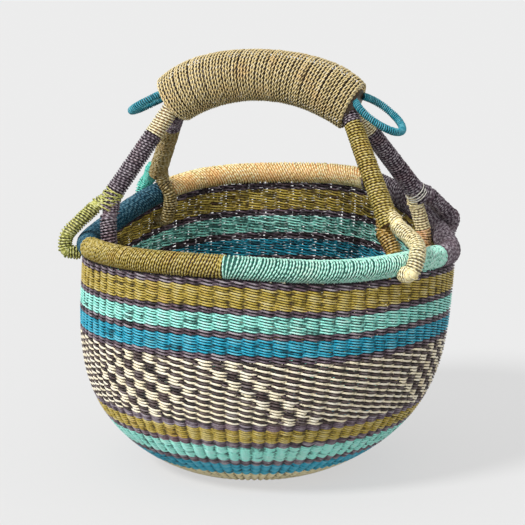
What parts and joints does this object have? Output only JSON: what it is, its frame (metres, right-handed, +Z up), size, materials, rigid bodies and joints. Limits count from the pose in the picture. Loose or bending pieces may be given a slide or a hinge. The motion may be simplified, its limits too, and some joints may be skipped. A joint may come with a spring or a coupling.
{
  "type": "round market basket",
  "caption": "Round woven straw market basket with a wrapped rim, four-legged wrapped carrying handle and small cord loops at the grip.",
  "frame": {"origin": "centre of the flat underside that the basket stands on", "axes": "+Z up out of the mouth, +X to the right and -Y to the front as the picture shows it"},
  "size_m": [0.4298, 0.4033, 0.4434],
  "materials": {
    "straw_cream": "natural straw, dry satin",
    "straw_olive": "dyed straw, dry satin",
    "straw_mint": "dyed straw, dry satin",
    "straw_blue": "dyed straw, dry satin",
    "straw_purple": "dyed straw, dry satin",
    "straw_tan": "natural straw, warm tone",
    "straw_lime": "dyed straw, dry satin",
    "straw_turquoise": "dyed straw, dry satin",
    "cord_teal": "fine wrapped thread, slight sheen",
    "thread_white": "cotton thread",
    "cord_grip": "two-ply twisted straw cord",
    "grass_core": "bundled dry grass"
  },
  "bodies": {
    "root": {"base_weave": "straw_cream", "low_blue_band": "straw_blue", "low_purple_line_1": "straw_purple", "low_mint_band": "straw_mint", "low_purple_line_2": "straw_purple", "low_olive_band": "straw_olive", "low_purple_line_3": "straw_purple", "pattern_band": "straw_cream", "high_purple_line_1": "straw_purple", "high_blue_band": "straw_blue", "high_purple_line_2": "straw_purple", "high_mint_band": "straw_mint", "high_purple_line_3": "straw_purple", "high_olive_band": "straw_olive", "top_purple_line": "straw_purple", "rim_core": "grass_core", "rim_wrap_olive": "straw_olive", "rim_wrap_mint": "straw_mint", "rim_wrap_purple": "straw_purple", "rim_wrap_tan": "straw_tan", "rim_wrap_blue": "straw_blue", "front_arch": "grass_core", "back_arch": "grass_core", "grip_padding": "grass_core", "grip_cord": "cord_grip", "leg_a_cream_wrap": "straw_cream", "leg_a_purple_wrap": "straw_purple", "leg_a_lime_lashing": "straw_lime", "leg_b_purple_wrap": "straw_purple", "leg_b_olive_wrap": "straw_olive", "leg_c_purple_wrap": "straw_purple", "leg_c_olive_wrap": "straw_olive", "leg_d_cream_wrap": "straw_cream", "leg_d_purple_wrap": "straw_purple", "leg_d_white_tie": "thread_white", "leg_a_outer_limb": "straw_lime", "leg_a_inner_limb": "straw_purple", "leg_b_outer_limb": "straw_turquoise", "leg_b_inner_limb": "straw_olive", "leg_c_outer_limb": "straw_cream", "leg_c_inner_limb": "straw_olive", "leg_d_outer_limb": "straw_purple", "leg_d_inner_limb": "straw_cream", "left_hanging_loop": "cord_teal", "right_hanging_loop": "cord_teal"}
  },
  "joints": []
}
